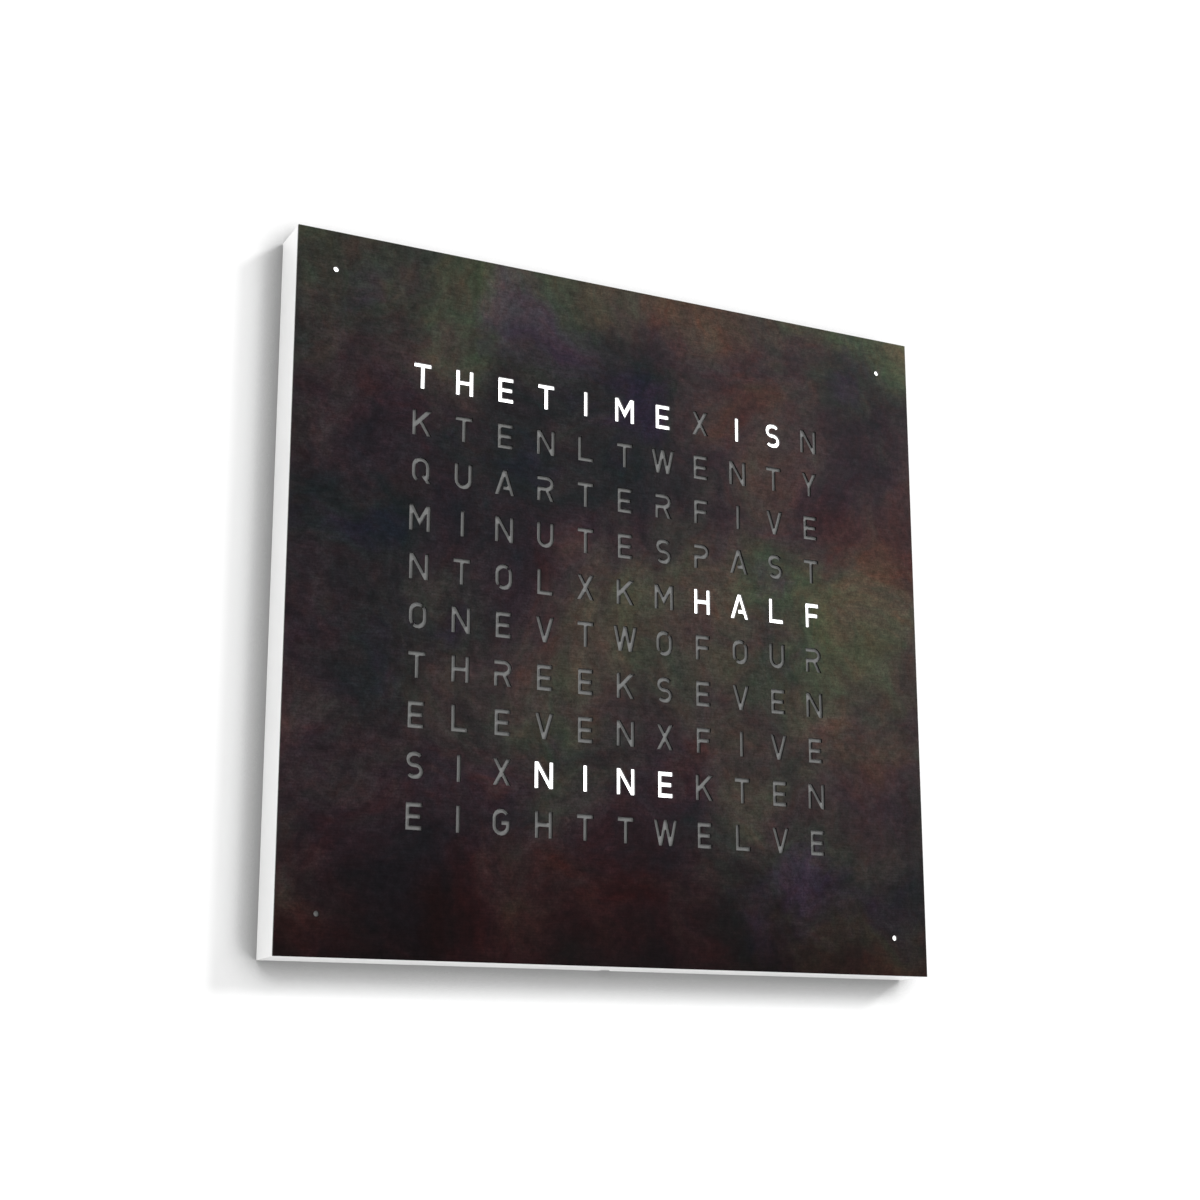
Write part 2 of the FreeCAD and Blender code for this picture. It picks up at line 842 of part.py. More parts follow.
def coin_cell():
    x, z = cell_place()
    floor_y = control_front_y - holder_floor
    return pin(cell_diameter, v(x, floor_y, z), v(x, floor_y - cell_thickness, z), coin_sides)


def key_board():
    y0 = key_y - key_board_width / 2
    y1 = key_y + key_board_width / 2
    board = block(key_board_x - board_thickness, key_board_x, y0, y1,
                  control_middle - key_board_half, control_middle + key_board_half)
    bore = key_screw_shank + 2 * screw_clearance
    holes = [pin(bore, v(key_board_x - board_thickness, key_y, z), v(key_board_x, key_y, z))
             for z in key_post_heights()]
    return board.cut(Part.makeCompound(holes))


def switch_bodies():
    """Square switch bodies on the key board, each with a round socket for its stem."""
    reach = switch_side / 2
    bodies = []
    for z in key_heights():
        body = block(key_board_x, key_board_x + switch_height, key_y - reach, key_y + reach,
                     z - reach, z + reach)
        face = key_board_x + switch_height
        socket = pin(stem_diameter + 2 * stem_clearance, v(face - stem_socket, key_y, z), v(face, key_y, z))
        bodies.append(body.cut(socket))
    return bodies


def key_cap(z):
    """Round push key, level with the side of the case, kept in by its flange."""
    start = v(key_flange_x - key_flange_thickness, key_y, z)
    flange = pin(key_flange_diameter, start, v(key_flange_x, key_y, z))
    shaft = pin(key_diameter, v(key_flange_x, key_y, z), v(half - key_edge, key_y, z), fine_sides)
    edge = taper(key_diameter, key_diameter - 2 * key_edge, v(half - key_edge, key_y, z), v(half, key_y, z),
                 fine_sides)
    return flange.fuse([shaft, edge]).removeSplitter()


def switch_stem(z):
    end = key_flange_x - key_flange_thickness
    return pin(stem_diameter, v(end - stem_length, key_y, z), v(end, key_y, z))


def key_board_posts():
    posts = []
    for z in key_post_heights():
        posts.append(tube(post_diameter, post_bore, v(key_board_x, key_y, z), v(window, key_y, z)))
    return posts


def key_board_screws():
    screws = []
    x = key_board_x - board_thickness
    for z in key_post_heights():
        head = pin(key_screw_head, v(x - pan_head_height, key_y, z), v(x, key_y, z))
        shank = pin(key_screw_shank, v(x, key_y, z), v(x + key_screw_length, key_y, z))
        screws.append(head.fuse(shank))
    return screws


def key_lead_sockets():
    """The sockets at both ends of the flat lead to the key board."""
    tall, long, _ = lead_socket_size
    reach = long / 2
    wall = key_board_x - board_thickness
    y0 = lead_y - lead_socket_size[2] / 2
    y1 = lead_y + lead_socket_size[2] / 2
    at_keys = block(wall - tall, wall, y0, y1, control_middle - reach, control_middle + reach)
    edge = control_width / 2
    at_control = block(edge, edge + tall, y0, y1, control_middle - reach, control_middle + reach)
    return [at_keys, at_control]


def key_lead():
    """Flat lead between the control board and the key board."""
    tall = lead_socket_size[0]
    return block(control_width / 2 + tall, key_board_x - board_thickness - tall,
                 lead_y - ribbon_thickness / 2, lead_y + ribbon_thickness / 2,
                 control_middle - lead_width / 2, control_middle + lead_width / 2)


def cover_studs():
    """Studs welded to the back of the front cover that find the bushes in the case."""
    studs = []
    for x, z in stud_places():
        tip_y = stud_length - case_depth
        shank = pin(stud_diameter, v(x, -case_depth, z), v(x, tip_y - stud_tip, z))
        tip = taper(stud_diameter, stud_diameter - stud_tip, v(x, tip_y - stud_tip, z), v(x, tip_y, z))
        studs.append(shank.fuse(tip).removeSplitter())
    return studs


def stud_bushes():
    bushes = []
    for x, z in stud_places():
        start = v(x, -case_depth, z)
        end = v(x, bush_length - case_depth, z)
        bushes.append(tube(bush_diameter - 2 * bush_fit, stud_diameter + 2 * stud_clearance, start, end))
    return bushes


def cover_magnets():
    return [pin(magnet_diameter, v(x, -case_depth, z), v(x, magnet_thickness - case_depth, z))
            for x, z in magnets_at()]


def build():
    os.makedirs("parts", exist_ok=True)
    save("front_cover", [front_cover()])
    save("cover_studs", cover_studs())
    for name, shape in rails().items():
        save(name, [shape])
    save("stud_bushes", stud_bushes())
    save("cover_magnets", cover_magnets())
    save("diffuser_sheet", [diffuser_sheet()])
    save("light_baffle", [light_baffle()])
    save("dot_wells", dot_wells())
    save("led_board", [led_board()])
    save("letter_leds", lights([(x, z) for _, x, z in letter_places()]))
    save("dot_leds", lights(dot_places()))
    save("board_posts", [board_post(x, z) for x, z in post_places()])
    short = back_thickness + pan_screw_length
    save("post_screws", [flush_screw(x, z, short) for x, z in post_places()])
    save("back_cover", [back_cover()])
    save("back_cover_screws", [flush_screw(x, z, screw_length) for x, z in back_screws_at()])
    save("hanger_pans", [hanger_pan(x, z) for x, z in keyhole_places()])
    save("inlet_tray", [inlet_tray()])
    save("dc_jack", [dc_jack()])
    save("dc_jack_nut", [jack_nut()])
    save("jack_wires", jack_wires())
    save("control_board", [control_board()])
    save("control_posts", [control_post(x, z) for x, z in control_holes()])
    save("processor", [processor()])
    save("driver_chips", driver_chips())
    save("crystal", [crystal()])
    save("capacitors", capacitors())
    save("power_socket", [power_socket()])
    save("ribbon_headers", ribbon_headers())
    save("ribbon_cable", [ribbon_cable()])
    save("coin_cell_holder", [coin_cell_holder()])
    save("coin_cell", [coin_cell()])
    save("key_board", [key_board()])
    save("switch_bodies", switch_bodies())
    save("key_board_posts", key_board_posts())
    save("key_board_screws", key_board_screws())
    save("key_lead_sockets", key_lead_sockets())
    save("key_lead", [key_lead()])
    for number, z in enumerate(key_heights(), start=1):
        save("key_cap_%d" % number, [key_cap(z)])
        save("switch_stem_%d" % number, [switch_stem(z)])


build()
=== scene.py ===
import bmesh
import bpy
import json
import math
from mathutils import Matrix, Vector


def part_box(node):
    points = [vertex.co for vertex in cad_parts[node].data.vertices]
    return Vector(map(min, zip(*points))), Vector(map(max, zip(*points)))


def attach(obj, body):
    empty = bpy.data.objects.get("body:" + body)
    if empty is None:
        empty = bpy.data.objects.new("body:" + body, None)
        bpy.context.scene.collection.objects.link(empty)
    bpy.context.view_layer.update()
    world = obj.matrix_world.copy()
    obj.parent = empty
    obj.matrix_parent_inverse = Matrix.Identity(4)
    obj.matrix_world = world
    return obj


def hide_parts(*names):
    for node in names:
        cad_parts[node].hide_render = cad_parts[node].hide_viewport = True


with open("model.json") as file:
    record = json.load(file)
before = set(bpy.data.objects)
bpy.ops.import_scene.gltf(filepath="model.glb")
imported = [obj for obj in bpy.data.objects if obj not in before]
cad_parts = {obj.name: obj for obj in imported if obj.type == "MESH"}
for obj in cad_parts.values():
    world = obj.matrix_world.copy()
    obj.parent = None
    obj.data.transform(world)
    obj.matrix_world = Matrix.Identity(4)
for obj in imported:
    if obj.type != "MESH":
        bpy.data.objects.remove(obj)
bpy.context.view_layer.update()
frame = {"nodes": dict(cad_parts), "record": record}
nodes = frame["nodes"]

# Camera, solved from the photograph with the front taken as 450 mm square
CAMERA_PLACE = Vector((-0.5685, -1.1760, -0.3256))
CAMERA_LOOK = Vector((0.4584, 0.8595, 0.2259))
CAMERA_RIGHT = Vector((0.8833, -0.4687, -0.0093))
CAMERA_SENSOR = 36.0
CAMERA_LENS = 61.28
CAMERA_SHIFT = (-0.0688, 0.0496)
CAMERA_FAR = 100.0

# Light: a plain white room, a sun that leaves the offset shadow on the wall, and a fill from low on the left
ROOM_LEVEL = 0.79
SUN_STRENGTH = 1.1
SUN_ANGLE = math.radians(11)
SUN_WAY = Vector((-0.028, 0.0325, -0.019))
FILL_STRENGTH = 1.6
FILL_ANGLE = math.radians(30)
FILL_WAY = Vector((0.70, 0.06, 0.70))

# Stage: the wall behind the clock and the floor far below, and the painted shade where the clock closes off
# the wall
WALL_PLACE = 0.0006
WALL_REACH = 6.0
WALL_LIFT = 0.03
WALL_OVERLAP = 0.001
FLOOR_LEVEL = -1.6
FLOOR_REACH = 30.0
BOUNCE_WHITE = (0.85, 0.85, 0.85)
CONTACT_REACH = 0.023
CONTACT_SAMPLES = 8
PAINTED_CONTACT_SHADES = ((0.5, 0.36), (0.62, 0.38), (0.68, 0.425), (0.735, 0.505), (0.79, 0.62), (0.85, 0.78),
                  (0.92, 0.91), (1.0, 1.0))

# The front: its side, the letter grid and the corner dots, in metres
FRONT_LOW, FRONT_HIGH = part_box("front_cover")
PLATE_SIDE = FRONT_HIGH.x - FRONT_LOW.x
COLUMN_PITCH = 0.0283
ROW_PITCH = 0.031
COLUMNS = 11
ROWS = 10
DOT_INSET = 0.025
DOT_GLOW_RADIUS = 0.006
WALL_NORMAL_LIMIT = 0.5

# Lit words as row, first column and last column, counted from 1, and the sides of the lit corner dots
LIT_WORDS = ((1, 1, 7), (1, 9, 10), (5, 8, 11), (9, 4, 7))
LIT_DOTS = ((-1, 1), (1, 1), (1, -1))
GLOW = 2.6
GLOW_SOFT = 0.001

# Patina noises, as scale, detail and roughness
DRIFT_SCALE = 9.0
DRIFT_DETAIL = 4.0
DRIFT_REACH = 0.10
CLOUDS = (8.0, 9, 0.60)
HUES = (10.0, 6, 0.55)
FLECKS = (85.0, 5, 0.72)
MOTTLE = (42.0, 7, 0.70)
SPECKLE = (190.0, 4, 0.75)
GRAIN = (850.0, 3, 0.7)
FINE_LINES = (1.0, 3, 0.6)
BRUSH_STRETCH = (110, 110, 1500)
HUE_PLACE = (3.7, 1.9, 5.3)

# Patina colours: the tone drifts over the plate, and each layer multiplies the one before
TONE_ACROSS = 0.11
TONE_BY_HEIGHT = ((0.0, 0.0), (0.22, 0.10), (0.5, 0.13), (0.74, 0.02), (0.9, 0.12), (1.0, 0.24))
TONE_COLOURS = ((0.48, (0.0080, 0.0085, 0.0118)), (0.58, (0.0170, 0.0115, 0.0155)),
                (0.68, (0.0275, 0.0205, 0.0220)), (0.79, (0.0400, 0.0345, 0.0275)),
                (0.96, (0.0620, 0.0510, 0.0330)))
HUE_TINTS = ((0.32, (1.28, 0.82, 0.72)), (0.42, (1.05, 0.96, 0.96)), (0.50, (0.98, 1.03, 0.93)),
             (0.58, (0.80, 1.13, 0.90)), (0.70, (0.93, 0.88, 1.30)))
FLECK_TINTS = ((0.30, (1.16, 0.90, 0.86)), (0.50, (1.0, 1.0, 1.0)), (0.70, (0.86, 1.08, 1.02)))
RUST_DRIFT = 0.30
RUST_TINTS = ((0.17, (0.62, 0.36, 0.32)), (0.36, (1.0, 1.0, 1.0)))
MOTTLE_SHADES = ((0.28, 0.60), (0.5, 1.0), (0.72, 1.48))
SPECKLE_SHADES = ((0.28, 0.68), (0.5, 1.0), (0.72, 1.38))
LINE_SHADES = ((0.25, 0.78), (0.75, 1.24))
GRAIN_SHADES = ((0.25, 0.68), (0.75, 1.36))
PATINA_GLOSS = ((0.3, 0.42), (0.7, 0.60))
LINE_SHARE = 0.6

# Other finishes: noises as scale, detail and roughness, stretches of fine lines, and the clear coat
CUT_STRETCH = (2500, 60, 2500)
DRAWN_STRETCH = (60, 1500, 60)
LACQUER_CLOUD = (18.0, 3, 0.5)
LACQUER_PEEL = (420.0, 3, 0.5)
COAT_WEIGHT = 0.25
COAT_ROUGHNESS = 0.2
OPAL_FINE = (900.0, 2, 0.5)
FINE_TO_BROAD = 25

# Small turned pieces: lengths in metres, the sharp angle in degrees, and SCREW_TURN in radians
TURN_STEPS = 48
SHARP_ANGLE = 35
SMALL_EDGE = 0.0003
SCREW_HEAD = 0.003
SCREW_EDGE = 0.00015
SCREW_SHANK = 0.0014
SCREW_SEAT = -0.0015
SCREW_TIP = 0.001
SCREW_TURN = 0.7
CROSS_REACH = 0.0017
CROSS_WIDE = 0.00032
CROSS_DEPTH = 0.0011
MAGNET_RADIUS = 0.005
BUSH_RADIUS = 0.00395
BUSH_BORE = 0.0022
STUD_RADIUS = 0.002
STUD_TIP = 0.001
STUD_GROOVE = 0.0008

# Setting keys
KEY_COUNT = 4
KEY_RADIUS = 0.003
KEY_ROUND = 0.0004
KEY_FLANGE = 0.0045
KEY_FLANGE_THICK = 0.0015
KEY_DISH_RADIUS = 0.0022
KEY_DISH = 0.0002
KEY_RIM_ANGLES = range(0, 91, 15)
KEY_DISH_ANGLES = range(0, 76, 15)
KEY_SHARP_ANGLE = 50

# Power jack; the CAD flange has 16 flats, so its box ends nearer to the axis than its radius
JACK_PIN = 0.001
JACK_PIN_SETBACK = 0.001
JACK_BORE = 0.0028
JACK_BORE_DEPTH = 0.009
JACK_FLANGE = 0.0048
JACK_FLANGE_THICK = 0.0016
JACK_BARREL = 0.0039
JACK_LUG = 0.004
JACK_LUG_WIDE = 0.0022
JACK_LUG_THICK = 0.0005
JACK_LUG_OFFSET = 0.0024
JACK_LUG_FORWARD = 0.0022
JACK_FACET = math.cos(math.pi / 16)

# Rails: the node, the axis and side of its outer face, and the easing of the long edges there
RAILS = (("rail_left", 0, -1), ("rail_right", 0, 1), ("rail_bottom", 2, -1), ("rail_top", 2, 1))
RAIL_EASE = 0.0004
RAIL_STEPS = 4
RAIL_LONG = 0.15
RAIL_CORNER = math.radians(60)
FLAT_ANGLE = math.radians(1)
MERGE_REACH = 1e-6
FACE_REACH = 1e-5


def add(tree, kind, sockets=None, **settings):
    """A shader node with its settings and the values of its input sockets."""
    node = tree.nodes.new(kind)
    for name, value in settings.items():
        setattr(node, name, value)
    for name, value in (sockets or {}).items():
        if isinstance(value, bpy.types.NodeSocket):
            tree.links.new(value, node.inputs[name])
        else:
            node.inputs[name].default_value = value
    return node


def material(name, colour, roughness, metallic=0.0, specular=0.5):
    """A new material and its shader, with colour as linear values."""
    made = bpy.data.materials.new(name)
    made.use_nodes = True
    shader = made.node_tree.nodes["Principled BSDF"]
    shader.inputs["Base Color"].default_value = (*colour, 1)
    shader.inputs["Roughness"].default_value = roughness
    shader.inputs["Metallic"].default_value = metallic
    shader.inputs["Specular IOR Level"].default_value = specular
    return made, made.node_tree, shader


def place(tree, scale=(1, 1, 1)):
    """Object coordinates in metres, stretched by a scale."""
    where = add(tree, "ShaderNodeTexCoord")
    mapped = add(tree, "ShaderNodeMapping", {"Vector": where.outputs["Object"], "Scale": scale})
    return mapped.outputs["Vector"]


def noise(tree, where, scale, detail, roughness):
    """Soft noise between 0 and 1."""
    made = add(tree, "ShaderNodeTexNoise", {"Vector": where, "Scale": scale, "Detail": detail,
                                           "Roughness": roughness})
    return made.outputs["Fac"]


def ramp(tree, value, *stops):
    """A colour ramp through (place, colour) stops; a plain number makes a grey."""
    made = add(tree, "ShaderNodeValToRGB", {"Fac": value})
    elements = made.color_ramp.elements
    while len(elements) < len(stops):
        elements.new(0.5)
    for element, (where, colour) in zip(elements, stops):
        element.position = where
        element.color = (colour, colour, colour, 1) if isinstance(colour, float) else (*colour, 1)
    return made.outputs["Color"]


def mix(tree, share, first, second, blend="MIX"):
    """Two colours blended by a share of the second."""
    made = add(tree, "ShaderNodeMix", data_type="RGBA", blend_type=blend, clamp_factor=True)
    share_socket, first_socket, second_socket = (made.inputs[index] for index in (0, 6, 7))
    for socket, value in ((share_socket, share), (first_socket, first), (second_socket, second)):
        if isinstance(value, bpy.types.NodeSocket):
            tree.links.new(value, socket)
        elif socket is share_socket:
            socket.default_value = value
        else:
            socket.default_value = (*value, 1)
    return made.outputs[2]


def tinted(tree, colour, value, stops):
    """A colour multiplied by a ramp."""
    return mix(tree, 1.0, colour, ramp(tree, value, *stops), "MULTIPLY")


def maths(tree, kind, first, second=0.0, third=0.0):
    """The result of one sum on numbers or sockets."""
    made = add(tree, "ShaderNodeMath", operation=kind)
    for index, value in enumerate((first, second, third)):
        if isinstance(value, bpy.types.NodeSocket):
            tree.links.new(value, made.inputs[index])
        else:
            made.inputs[index].default_value = value
    return made.outputs[0]


def vectors(tree, kind, first, second):
    """The result of one sum on two vectors, or on a vector and a scale."""
    name = "Scale" if kind == "SCALE" else 1
    return add(tree, "ShaderNodeVectorMath", {0: first, name: second}, operation=kind).outputs[0]


def bump(tree, shader, height, strength, distance):
    """Relief on a shader, from a height between 0 and 1."""
    made = add(tree, "ShaderNodeBump", {"Height": height, "Strength": strength, "Distance": distance})
    tree.links.new(made.outputs["Normal"], shader.inputs["Normal"])


def wandering(tree, where):
    """Coordinates that wander, so that the clouds run into one another."""
    drift = add(tree, "ShaderNodeTexNoise", {"Vector": where, "Scale": DRIFT_SCALE, "Detail": DRIFT_DETAIL})
    centred = vectors(tree, "SUBTRACT", drift.outputs["Color"], (0.5, 0.5, 0.5))
    return vectors(tree, "ADD", where, vectors(tree, "SCALE", centred, DRIFT_REACH))


def patina():
    """Chemically darkened steel: drifting clouds of olive, plum, blue-black and red-brown, and fine lines."""
    made, tree, shader = material("patinated_steel", (0.03, 0.027, 0.026), 0.5, 0.35, 0.05)
    plain = place(tree)
    warped = wandering(tree, plain)
    aside = vectors(tree, "ADD", warped, HUE_PLACE)
    axes = add(tree, "ShaderNodeSeparateXYZ", {"Vector": warped})
    height = maths(tree, "MULTIPLY_ADD", axes.outputs["Z"], 1 / PLATE_SIDE, 0.5)
    across = maths(tree, "MULTIPLY_ADD", axes.outputs["X"], 1 / PLATE_SIDE, 0.5)

    clouds = noise(tree, warped, *CLOUDS)
    tone = maths(tree, "MULTIPLY_ADD", across, TONE_ACROSS, clouds)
    tone = maths(tree, "ADD", tone, ramp(tree, height, *TONE_BY_HEIGHT))
    colour = ramp(tree, tone, *TONE_COLOURS)
    hue = noise(tree, aside, *HUES)
    colour = tinted(tree, colour, hue, HUE_TINTS)
    colour = tinted(tree, colour, noise(tree, aside, *FLECKS), FLECK_TINTS)
    low = maths(tree, "MULTIPLY_ADD", hue, RUST_DRIFT, height)
    colour = tinted(tree, colour, low, RUST_TINTS)

    mottle = noise(tree, warped, *MOTTLE)
    colour = tinted(tree, colour, mottle, MOTTLE_SHADES)
    colour = tinted(tree, colour, noise(tree, plain, *SPECKLE), SPECKLE_SHADES)
    lines = noise(tree, place(tree, BRUSH_STRETCH), *FINE_LINES)
    colour = tinted(tree, colour, lines, LINE_SHADES)
    grain = noise(tree, plain, *GRAIN)
    colour = tinted(tree, colour, grain, GRAIN_SHADES)
    tree.links.new(colour, shader.inputs["Base Color"])
    tree.links.new(ramp(tree, mottle, *PATINA_GLOSS), shader.inputs["Roughness"])
    grain_height = maths(tree, "MULTIPLY", grain, 1 - LINE_SHARE)
    relief = maths(tree, "MULTIPLY_ADD", lines, LINE_SHARE, grain_height)
    bump(tree, shader, relief, 0.25, 0.0002)
    return made


def cut_edge_and_slot_shade():
    """Darkened laser-cut steel edge with fine striations across the sheet; on the slot walls its dark colour
    is also painted shade, so that the unlit letters look thin.
    """
    made, tree, shader = material("cut_steel_edge_and_slot_shade", (0.03, 0.03, 0.03), 0.35, 0.7, 0.3)
    lines = noise(tree, place(tree, CUT_STRETCH), *FINE_LINES)
    tree.links.new(ramp(tree, lines, (0.3, (0.016, 0.015, 0.015)), (0.7, (0.05, 0.048, 0.047))),
                   shader.inputs["Base Color"])
    bump(tree, shader, lines, 0.2, 0.0001)
    return made


def lacquer():
    """Sprayed satin white lacquer with a faint orange-peel surface."""
    made, tree, shader = material("white_lacquer", (0.88, 0.88, 0.875), 0.32)
    where = place(tree)
    cloud = noise(tree, where, *LACQUER_CLOUD)
    tree.links.new(ramp(tree, cloud, (0.3, (0.865, 0.866, 0.862)), (0.7, (0.9, 0.9, 0.896))),
                   shader.inputs["Base Color"])
    peel = noise(tree, where, *LACQUER_PEEL)
    tree.links.new(ramp(tree, peel, (0.3, 0.28), (0.7, 0.38)), shader.inputs["Roughness"])
    bump(tree, shader, peel, 0.12, 0.0002)
    shader.inputs["Coat Weight"].default_value = COAT_WEIGHT
    shader.inputs["Coat Roughness"].default_value = COAT_ROUGHNESS
    return made


def inside(tree, value, low, high):
    """1 between two bounds with soft sides, 0 outside."""
    up = add(tree, "ShaderNodeMapRange", {"Value": value, "From Min": low - GLOW_SOFT,
                                         "From Max": low + GLOW_SOFT})
    down = add(tree, "ShaderNodeMapRange", {"Value": value, "From Min": high + GLOW_SOFT,
                                           "From Max": high - GLOW_SOFT})
    return maths(tree, "MULTIPLY", up.outputs["Result"], down.outputs["Result"])


def column_x(column):
    """The middle of a letter column, counted from 1 at the left."""
    return (column - (COLUMNS + 1) / 2) * COLUMN_PITCH


def row_z(row):
    """The middle of a letter row, counted from 1 at the top."""
    return ((ROWS + 1) / 2 - row) * ROW_PITCH


def lit_areas():
    """The lowest and highest x and z of each lit word and dot."""
    areas = []
    for row, first, last in LIT_WORDS:
        areas.append((column_x(first) - COLUMN_PITCH / 2, column_x(last) + COLUMN_PITCH / 2,
                      row_z(row) - ROW_PITCH / 2, row_z(row) + ROW_PITCH / 2))
    corner = FRONT_HIGH.x - DOT_INSET
    for side, level in LIT_DOTS:
        areas.append((side * corner - DOT_GLOW_RADIUS, side * corner + DOT_GLOW_RADIUS,
                      level * corner - DOT_GLOW_RADIUS, level * corner + DOT_GLOW_RADIUS))
    return areas


def opal():
    """Opal sheet that glows where the cells behind it are lit; its grey is painted shade, darker than a white
    opal sheet, for the unlit letters seen down their slots.
    """
    made, tree, shader = material("opal_sheet", (0.21, 0.212, 0.21), 0.6, 0.0, 0.3)
    where = place(tree)
    axes = add(tree, "ShaderNodeSeparateXYZ", {"Vector": where})
    total = None
    for left, right, bottom, top in lit_areas():
        across = inside(tree, axes.outputs["X"], left, right)
        up = inside(tree, axes.outputs["Z"], bottom, top)
        area = maths(tree, "MULTIPLY", across, up)
        total = area if total is None else maths(tree, "MAXIMUM", total, area)
    fine = noise(tree, where, *OPAL_FINE)
    # Painted shade: this grey base colour stands in for the shade inside the unlit letter slots; the fine
    # noise in it is the sheet's grain
    tree.links.new(ramp(tree, fine, (0.3, (0.19, 0.192, 0.19)), (0.7, (0.23, 0.232, 0.228))),
                   shader.inputs["Base Color"])
    shader.inputs["Emission Color"].default_value = (1.0, 1.0, 1.0, 1)
    tree.links.new(maths(tree, "MULTIPLY", total, GLOW), shader.inputs["Emission Strength"])
    bump(tree, shader, fine, 0.05, 0.0001)
    return made


def grained(name, colour, roughness, spread=0.12, scale=700.0, relief=0.1):
    """A moulded, coated or machined finish: fine grain in colour, gloss and relief."""
    made, tree, shader = material(name, colour, roughness)
    where = place(tree)
    fine = noise(tree, where, scale, 3, 0.6)
    broad = noise(tree, where, scale / FINE_TO_BROAD, 3, 0.5)
    dark = tuple(value * (1 - spread) for value in colour)
    light = tuple(min(1.0, value * (1 + spread)) for value in colour)
    shade = maths(tree, "ADD", maths(tree, "MULTIPLY", fine, 0.5), maths(tree, "MULTIPLY", broad, 0.5))
    tree.links.new(ramp(tree, shade, (0.35, dark), (0.65, light)), shader.inputs["Base Color"])
    tree.links.new(ramp(tree, fine, (0.3, roughness * 0.85), (0.7, min(1.0, roughness * 1.15))),
                   shader.inputs["Roughness"])
    bump(tree, shader, fine, relief, 0.0002)
    return made


def brushed(name, colour, roughness):
    """Drawn or turned metal with fine lines along one direction."""
    made, tree, shader = material(name, colour, roughness, 1.0)
    lines = noise(tree, place(tree, DRAWN_STRETCH), *FINE_LINES)
    dark = tuple(value * 0.8 for value in colour)
    light = tuple(min(1.0, value * 1.15) for value in colour)
    tree.links.new(ramp(tree, lines, (0.3, dark), (0.7, light)), shader.inputs["Base Color"])
    tree.links.new(ramp(tree, lines, (0.3, roughness * 0.8), (0.7, roughness * 1.3)),
                   shader.inputs["Roughness"])
    bump(tree, shader, lines, 0.1, 0.0001)
    return made


def make_finishes():
    """One material for each material slot of the record."""
    return {
        "patinated_steel": patina(),
        "white_lacquer": lacquer(),
        "opal_sheet": opal(),
        "grey_moulding": grained("grey_moulding", (0.60, 0.61, 0.62), 0.5),
        "white_board": grained("white_board", (0.75, 0.76, 0.74), 0.35, 0.05),
        "green_board": grained("green_board", (0.02, 0.17, 0.07), 0.35, 0.15),
        "light_package": grained("light_package", (0.88, 0.82, 0.55), 0.25, 0.05),
        "zinc_steel": brushed("zinc_steel", (0.62, 0.62, 0.60), 0.32),
        "bare_steel": brushed("bare_steel", (0.42, 0.42, 0.42), 0.38),
        "nickel": brushed("nickel", (0.70, 0.68, 0.64), 0.2),
        "white_powder_coat": grained("white_powder_coat", (0.78, 0.78, 0.77), 0.55, 0.04, 900.0, 0.25),
        "black_moulding": grained("black_moulding", (0.022, 0.022, 0.023), 0.5, 0.2),
        "chip_resin": grained("chip_resin", (0.018, 0.018, 0.02), 0.6, 0.2),
        "aluminium_can": brushed("aluminium_can", (0.72, 0.72, 0.72), 0.3),
        "grey_ribbon": grained("grey_ribbon", (0.36, 0.37, 0.39), 0.5),
        "red_black_wire": grained("red_black_wire", (0.25, 0.02, 0.02), 0.45),
        "white_key": grained("white_key", (0.84, 0.84, 0.83), 0.25, 0.03, relief=0.04),
        "brass": brushed("brass", (0.72, 0.52, 0.22), 0.28),
    }


def dress_nodes(finishes):
    """Gives each carried-over node the finish of its own slot."""
    for row in frame["record"]["subparts"]:
        node = nodes[row["node"]]
        node.data.materials.clear()
        node.data.materials.append(finishes[row["material_slot"]])


def dress_cover_edges(edge):
    """The slot walls and outer edges of the front cover show bare cut steel, whose dark colour in the letter
    slots is also painted shade.
    """
    mesh = nodes["front_cover"].data
    mesh.materials.append(edge)
    for polygon in mesh.polygons:
        if abs(polygon.normal.y) < WALL_NORMAL_LIMIT:
            polygon.material_index = 1


def islands(name):
    """The lowest and highest corner of each separate solid in a node."""
    made = bmesh.new()
    made.from_mesh(nodes[name].data)
    bmesh.ops.remove_doubles(made, verts=made.verts, dist=MERGE_REACH)
    waiting = set(made.verts)
    found = []
    while waiting:
        group = [waiting.pop()]
        for vert in group:
            joined = [edge.other_vert(vert) for edge in vert.link_edges]
            fresh = [other for other in joined if other in waiting]
            waiting.difference_update(fresh)
            group.extend(fresh)
        low = Vector([min(vert.co[axis] for vert in group) for axis in range(3)])
        high = Vector([max(vert.co[axis] for vert in group) for axis in range(3)])
        found.append((low, high))
    made.free()
    return sorted(found, key=lambda box: tuple(box[0]))


def columns_through(name):
    """The middle of each separate solid in a node, brought to y = 0."""
    return [Vector(((low.x + high.x) / 2, 0, (low.z + high.z) / 2)) for low, high in islands(name)]


def lathe(profile, closed=False):
    """A form turned about the Y axis, from points of radius and distance along Y."""
    made = bmesh.new()
    rings = []
    turns = [2 * math.pi * step / TURN_STEPS for step in range(TURN_STEPS)]
    for radius, along in profile:
        if radius == 0:
            rings.append([made.verts.new((0, along, 0))])
        else:
            rings.append([made.verts.new((radius * math.cos(a), along, radius * math.sin(a))) for a in turns])
    following = rings[1:] + rings[:1] if closed else rings[1:]
    for first, second in zip(rings, following):
        for step in range(TURN_STEPS):
            ahead = step + 1
            corners = (first[step % len(first)], first[ahead % len(first)],
                       second[ahead % len(second)], second[step % len(second)])
            made.faces.new(list(dict.fromkeys(corners)))
    bmesh.ops.recalc_face_normals(made, faces=made.faces)
    return made


def add_piece(name, mesh, body, replaced):
    """Puts a mesh into the scene as a piece that rides on a body and stands for CAD nodes."""
    piece = bpy.data.objects.new(name, mesh)
    bpy.context.scene.collection.objects.link(piece)
    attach(piece, body)
    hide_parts(*replaced)


